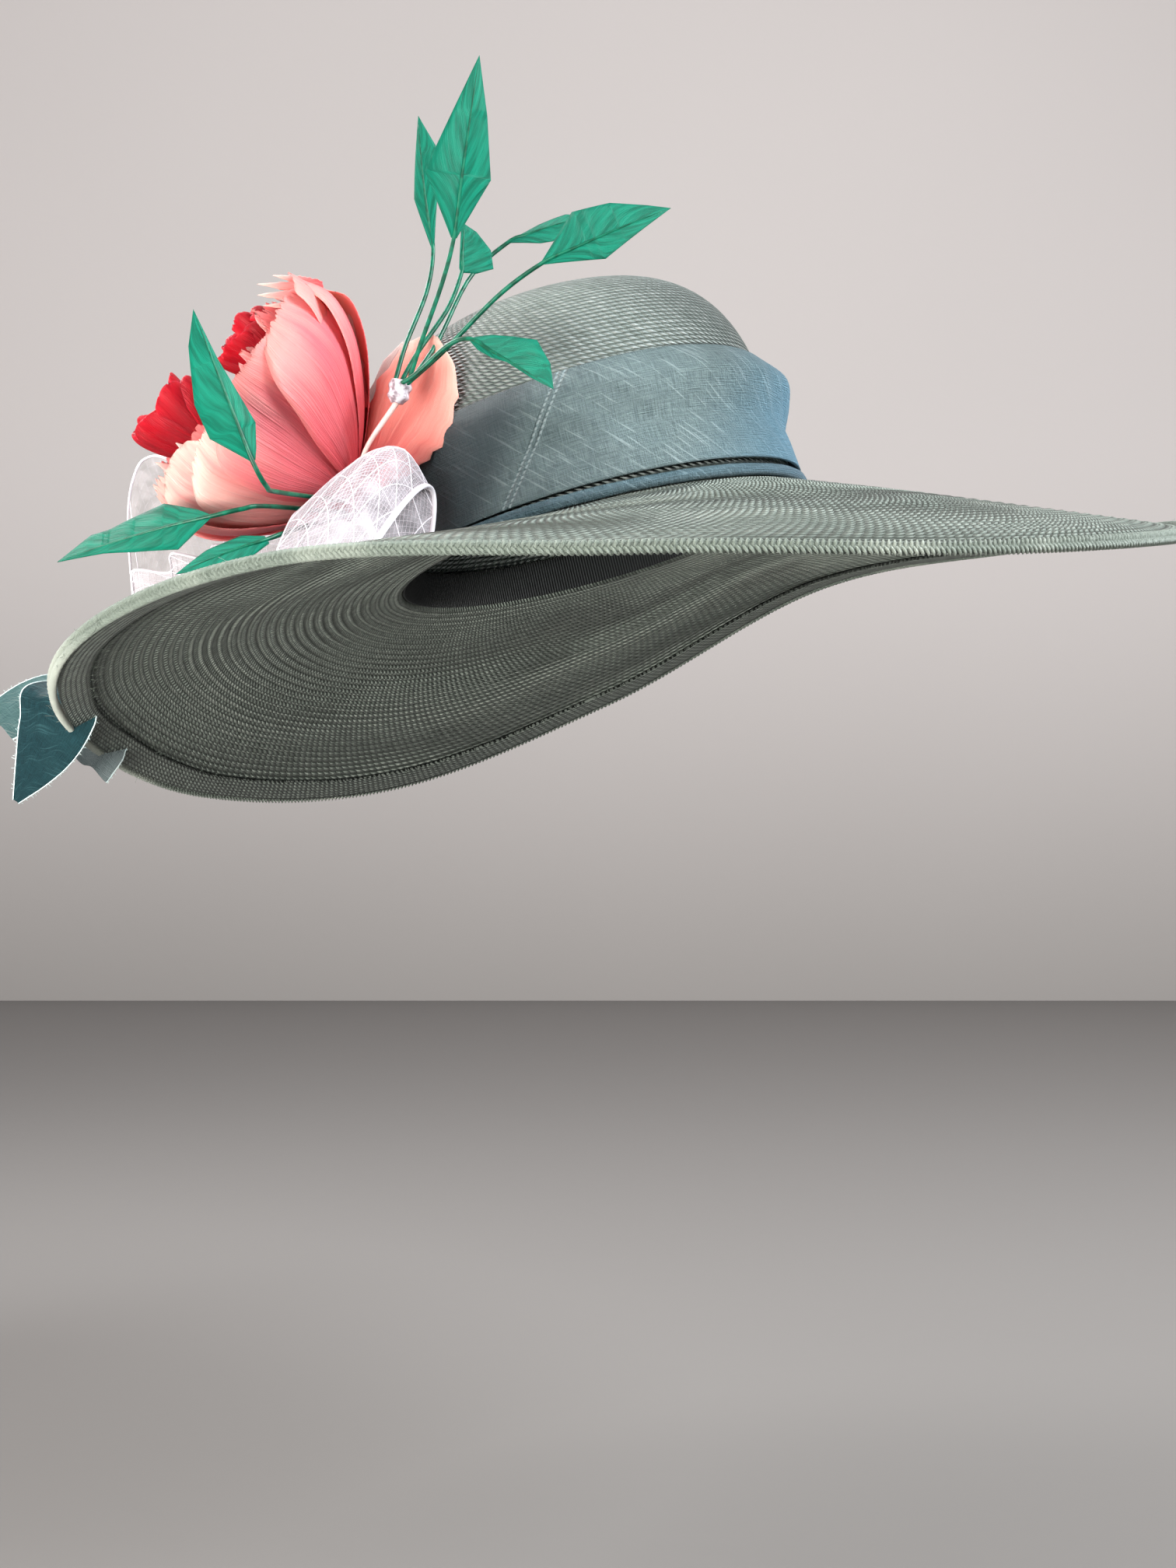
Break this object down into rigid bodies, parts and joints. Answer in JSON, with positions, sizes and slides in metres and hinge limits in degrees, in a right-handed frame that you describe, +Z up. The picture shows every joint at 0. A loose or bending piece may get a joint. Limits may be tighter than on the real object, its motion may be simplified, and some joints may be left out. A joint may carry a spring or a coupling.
{
  "type": "wide-brimmed dress hat",
  "caption": "Wide-brimmed woven straw dress hat with a pleated silk band, a feather peony, trimmed green feathers, veil and sash tails.",
  "frame": {"origin": "middle of the head opening at the foot of the crown, where the hat sits on a head", "axes": "as worn: +X to the wearer's left, +Y to the back, +Z up; the crown's own axis is tipped back 11 degrees and leans 9.3 degrees to the wearer's right"},
  "size_m": [0.4769, 0.501, 0.3059],
  "materials": {
    "straw": "woven straw dyed grey-green",
    "straw_edge": "plaited straw edge, paler",
    "head_ribbon": "dark ribbed ribbon",
    "silk": "slubbed silk, slate blue",
    "coral_feather": "dyed coral feather",
    "crimson_feather": "dyed crimson feather",
    "green_feather": "dyed green feather, trimmed",
    "clear_wrap": "clear binding over pale quills",
    "veil": "stiff white net",
    "teal_silk": "slubbed silk, dark teal"
  },
  "bodies": {
    "root": {"crown": "straw", "brim": "straw", "brim_hem": "straw", "edge_plait": "straw_edge", "head_ribbon": "head_ribbon", "silk_band": "silk", "band_roll": "silk", "peony_petals": "coral_feather", "peony_heart_upper": "crimson_feather", "peony_heart_lower": "crimson_feather", "side_petal_front": "coral_feather", "side_petal_back": "coral_feather", "leaf_tall": "green_feather", "leaf_slim": "green_feather", "leaf_half": "green_feather", "leaf_small": "green_feather", "leaf_reaching": "green_feather", "leaf_drooping": "green_feather", "leaf_upright": "green_feather", "leaf_outer": "green_feather", "leaf_short": "green_feather", "quill_wrap": "clear_wrap", "bare_quill": "clear_wrap", "veil_loop": "veil", "veil_fan": "veil", "veil_fin": "veil", "sash_knot": "teal_silk", "sash_tail_long": "teal_silk", "sash_tail_short": "teal_silk", "sash_tail_inner": "teal_silk"}
  },
  "joints": []
}
